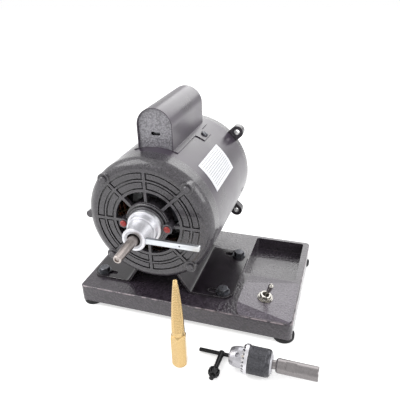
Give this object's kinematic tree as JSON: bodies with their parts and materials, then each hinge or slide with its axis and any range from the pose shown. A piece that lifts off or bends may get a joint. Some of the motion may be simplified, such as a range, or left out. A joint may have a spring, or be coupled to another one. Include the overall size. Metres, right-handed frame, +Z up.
{
  "type": "dental polishing lathe",
  "caption": "Dental polishing lathe: a motor in a cradle on a tray base, with a taper nose, an ejector lever and a toggle switch, and its brass spindle, drill chuck and key in front.",
  "frame": {"origin": "on the floor, under the middle of the whole set, loose tools included", "axes": "+X to the right along the base, towards the tray and switch; +Y from the nose to the back of the motor; +Z up"},
  "size_m": [0.2802, 0.2484, 0.232],
  "materials": {
    "hammered_paint": "hammered enamel",
    "zinc_sheet": "dull zinc",
    "black_rubber": "matt",
    "zinc_fasteners": "worn zinc",
    "housing_paint": "satin enamel",
    "switch_resin": "moulded resin",
    "nickel_plate": "bright nickel",
    "cradle_paint": "worn enamel",
    "shell_paint": "smooth enamel",
    "cast_paint": "rough painted casting",
    "red_lacquer": "sealing lacquer",
    "bearing_steel": "ground",
    "core_steel": "laminated",
    "winding_copper": "varnished copper wire",
    "rotor_aluminium": "die cast",
    "governor_steel": "plated sheet",
    "shaft_steel": "ground, browned",
    "nose_aluminium": "turned",
    "thrust_steel": "turned",
    "lever_steel": "bright plated",
    "capacitor_can": "drawn",
    "silver_hammered": "hammered enamel",
    "plate_white": "printed aluminium",
    "spindle_brass": "turned, aged",
    "chuck_steel": "ground",
    "knurled_steel": "knurled",
    "key_steel": "blackened"
  },
  "bodies": {
    "machine": {"base_casting": "hammered_paint", "bottom_plate": "zinc_sheet", "rubber_feet": "black_rubber", "cable_grommet": "black_rubber", "wire_grommet": "black_rubber", "foot_screws": "zinc_fasteners", "cradle_bolts": "zinc_fasteners", "cradle_washers": "zinc_fasteners", "cradle_nuts": "zinc_fasteners", "tie_bolts": "zinc_fasteners", "tie_nuts": "zinc_fasteners", "cover_screws": "zinc_fasteners", "switch_housing": "housing_paint", "switch_case": "switch_resin", "start_switch": "switch_resin", "switch_bushing": "nickel_plate", "switch_washer": "nickel_plate", "switch_nut": "nickel_plate", "motor_cradle": "cradle_paint", "motor_shell": "shell_paint", "capacitor_cover": "shell_paint", "front_endshield": "cast_paint", "rear_endshield": "cast_paint", "hub_screws": "red_lacquer", "front_bearing_outer": "bearing_steel", "front_bearing_balls": "bearing_steel", "rear_bearing_outer": "bearing_steel", "rear_bearing_balls": "bearing_steel", "stator_core": "core_steel", "stator_winding": "winding_copper", "ejector_body": "nose_aluminium", "capacitor": "capacitor_can", "cover_front_plate": "silver_hammered", "rating_plate": "plate_white"},
    "rotor": {"shaft": "shaft_steel", "rotor_core": "core_steel", "rotor_end_rings": "rotor_aluminium", "governor": "governor_steel", "front_bearing_inner": "bearing_steel", "rear_bearing_inner": "bearing_steel"},
    "governor_collar": {"governor_collar": "switch_resin"},
    "ejector_collar": {"ejector_collar": "nose_aluminium", "ejector_lever": "lever_steel", "lever_pin": "lever_steel"},
    "thrust_sleeve": {"thrust_sleeve": "thrust_steel"},
    "toggle": {"toggle_lever": "nickel_plate"},
    "spindle": {"polishing_spindle": "spindle_brass"},
    "chuck": {"chuck_body": "chuck_steel", "chuck_adapter": "chuck_steel"},
    "chuck_sleeve": {"chuck_sleeve": "knurled_steel", "chuck_tooth_ring": "knurled_steel", "chuck_nut": "chuck_steel"},
    "jaw_1": {"chuck_jaw_1": "chuck_steel"},
    "jaw_2": {"chuck_jaw_2": "chuck_steel"},
    "jaw_3": {"chuck_jaw_3": "chuck_steel"},
    "key": {"key_stem": "key_steel", "key_bar": "key_steel"}
  },
  "joints": [
    {"name": "rotor_spin", "type": "hinge", "parent": "machine", "child": "rotor", "pos_m": [-0.0471, 0, 0.1195], "axis": [0, -1, 0], "continuous": true},
    {"name": "governor_slide", "type": "slide", "parent": "rotor", "child": "governor_collar", "axis": [0, -1, 0], "range_m": [0, 0.003], "stiffness_N_per_m": 200, "springref_m": -0.003},
    {"name": "lever_turn", "type": "hinge", "parent": "machine", "child": "ejector_collar", "pos_m": [-0.0471, 0, 0.1195], "axis": [0, -1, 0], "range_deg": [0, 40]},
    {"name": "thrust_slide", "type": "slide", "parent": "machine", "child": "thrust_sleeve", "axis": [0, -1, 0], "range_m": [0, 0.00402]},
    {"name": "toggle_throw", "type": "hinge", "parent": "machine", "child": "toggle", "pos_m": [0.07493, -0.02281, 0.03271], "axis": [0, 1, 0], "range_deg": [-25, 0]},
    {"name": "spindle_lift", "type": "slide", "parent": "machine", "child": "spindle", "axis": [0, 0, 1], "range_m": [0, 0.12]},
    {"name": "chuck_lift", "type": "slide", "parent": "machine", "child": "chuck", "axis": [0, 0, 1], "range_m": [0, 0.1]},
    {"name": "sleeve_turn", "type": "hinge", "parent": "chuck", "child": "chuck_sleeve", "pos_m": [0.0547, -0.09701, 0.0144], "axis": [1, 0, 0], "range_deg": [0, 2880]},
    {"name": "jaw_1_slide", "type": "slide", "parent": "chuck", "child": "jaw_1", "axis": [0.9659, 0.1094, 0.2346], "range_m": [0, 0.01201]},
    {"name": "jaw_2_slide", "type": "slide", "parent": "chuck", "child": "jaw_2", "axis": [0.9659, -0.2578, -0.0226], "range_m": [0, 0.01201]},
    {"name": "jaw_3_slide", "type": "slide", "parent": "chuck", "child": "jaw_3", "axis": [0.9659, 0.1485, -0.212], "range_m": [0, 0.01201]},
    {"name": "key_lift", "type": "slide", "parent": "machine", "child": "key", "axis": [0, 0.5, 0.866], "range_m": [0, 0.08]}
  ],
  "couplings": [
    {"joint": "thrust_slide", "follows": "lever_turn", "m_per_rad": 0.0057296},
    {"joint": "jaw_1_slide", "follows": "sleeve_turn", "m_per_rad": 0.00023873},
    {"joint": "jaw_2_slide", "follows": "sleeve_turn", "m_per_rad": 0.00023873},
    {"joint": "jaw_3_slide", "follows": "sleeve_turn", "m_per_rad": 0.00023873}
  ]
}
